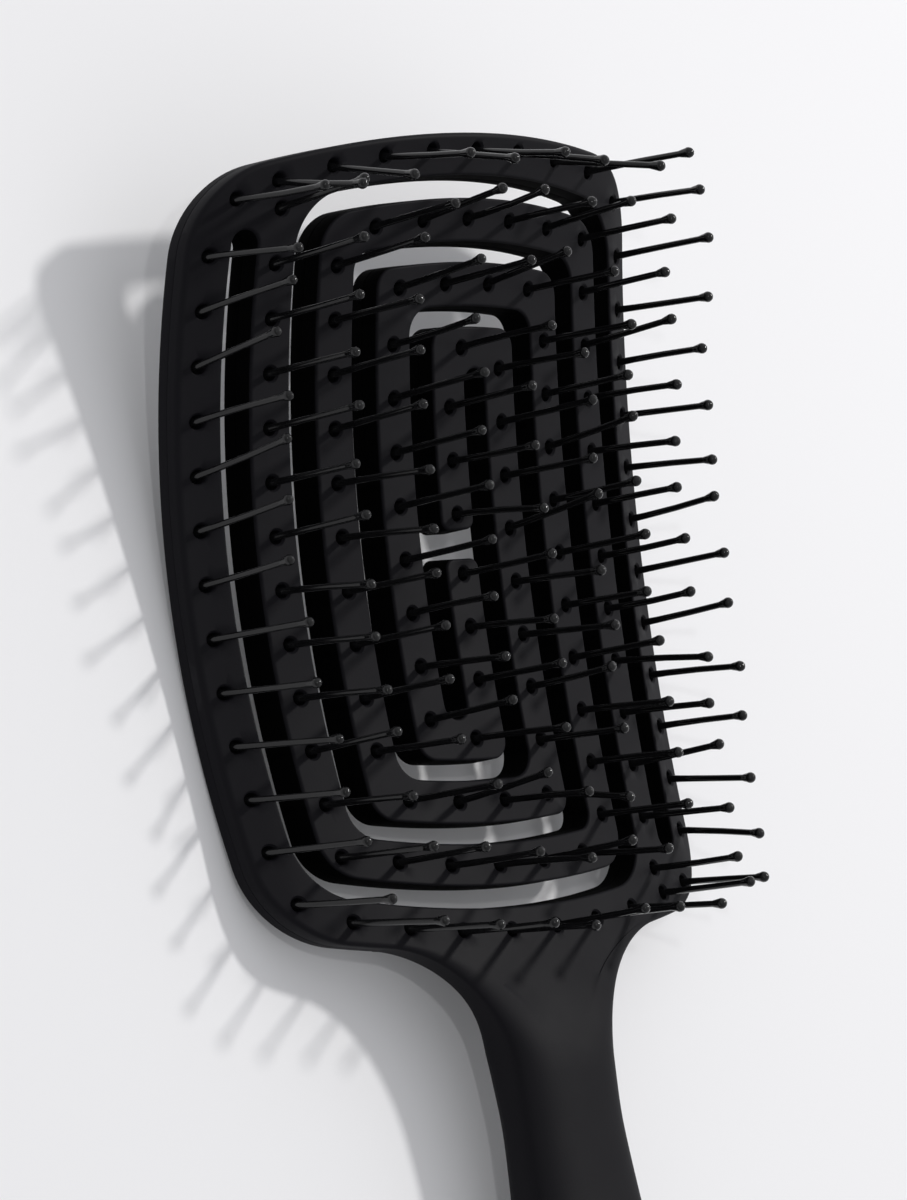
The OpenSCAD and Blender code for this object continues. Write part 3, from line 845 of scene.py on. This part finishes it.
# floor, light and camera
studio = {
    "floorColour": (0.8, 0.8, 0.815, 1), "floorGlow": 0.06, "floorGlowColour": (0.97, 0.98, 1.0, 1),
    "floorRough": 0.9, "floorSpecular": 0.15, "floorHalf": 6.0, "floorDrop": 0.0001,
    "aim": (0, 0.06, 0.02), "distance": 1.3, "white": (1, 1, 1), "warm": (1.0, 0.985, 0.96),
    "keyDirection": (0.59, 0.2513, 0.7596), "keySize": 0.12, "keyPower": 9.0,
    "secondDirection": (-0.551, -0.013, 0.824), "secondSize": 0.05, "secondPower": 1.2,
    "world": (0.97, 0.975, 1.0, 1), "roomSide": (0.8, 0.6, 0), "worldLeft": 0.32, "worldRight": 0.82,
}


def makeFloor():
    mesh = bpy.data.meshes.new("floor")
    work = bmesh.new()
    bmesh.ops.create_grid(work, x_segments=1, y_segments=1, size=studio["floorHalf"])
    work.to_mesh(mesh)
    work.free()
    floor = bpy.data.objects.new("floor", mesh)
    scene.collection.objects.link(floor)
    floor.location.z = -studio["floorDrop"]
    mat = bpy.data.materials.new("paleFloor")
    mat.use_nodes = True
    shader = mat.node_tree.nodes["Principled BSDF"]
    shader.inputs["Base Color"].default_value = studio["floorColour"]
    shader.inputs["Roughness"].default_value = studio["floorRough"]
    shader.inputs["Specular IOR Level"].default_value = studio["floorSpecular"]
    shader.inputs["Emission Color"].default_value = studio["floorGlowColour"]
    shader.inputs["Emission Strength"].default_value = studio["floorGlow"]
    floor.data.materials.append(mat)


def areaLight(name, direction, size, power, colour):
    aim = Vector(studio["aim"])
    place = direction * studio["distance"] + aim
    data = bpy.data.lights.new(name, "AREA")
    data.shape, data.size, data.energy, data.color = "DISK", size, power, colour
    lamp = bpy.data.objects.new(name, data)
    scene.collection.objects.link(lamp)
    lamp.location = place
    lamp.rotation_mode = "QUATERNION"
    lamp.rotation_quaternion = (aim - place).to_track_quat("-Z", "Y")


makeFloor()
areaLight("keyLight", Vector(studio["keyDirection"]).normalized(), studio["keySize"], studio["keyPower"],
          studio["warm"])
areaLight("secondLight", Vector(studio["secondDirection"]), studio["secondSize"], studio["secondPower"],
          studio["white"])

world = bpy.data.worlds.new("studioWorld")
world.use_nodes = True
background = world.node_tree.nodes["Background"]
background.inputs["Color"].default_value = studio["world"]
# the room is brighter on the side of the key light
around = node(world.node_tree, "ShaderNodeTexCoord")
side = node(world.node_tree, "ShaderNodeVectorMath", {"operation": "DOT_PRODUCT"}, {1: studio["roomSide"]})
strength = node(world.node_tree, "ShaderNodeMapRange", None,
                {"From Min": -1.0, "From Max": 1.0,
                 "To Min": studio["worldLeft"], "To Max": studio["worldRight"]})
link = world.node_tree.links.new
link(around.outputs["Generated"], side.inputs[0])
link(side.outputs["Value"], strength.inputs["Value"])
link(strength.outputs["Result"], background.inputs["Strength"])
scene.world = world

# The focal length is in pixels of the photograph, which is 1200 pixels on its long side.
view = {"place": (-1.1044108, -0.1392458, 1.0510226), "turn": (19.0775, -43.9926, -16.3993),
        "focal": 10628.8, "longSide": 1200, "sensor": 36.0, "clip": (0.05, 30.0)}
cameraData = bpy.data.cameras.new("camera")
cameraData.sensor_width = view["sensor"]
cameraData.lens = view["focal"] * view["sensor"] / view["longSide"]
cameraData.clip_start, cameraData.clip_end = view["clip"]
camera = bpy.data.objects.new("camera", cameraData)
camera.location = view["place"]
camera.rotation_euler = [math.radians(a) for a in view["turn"]]
scene.collection.objects.link(camera)
scene.camera = camera
scene.view_settings.view_transform = "Standard"
print("studio is set")
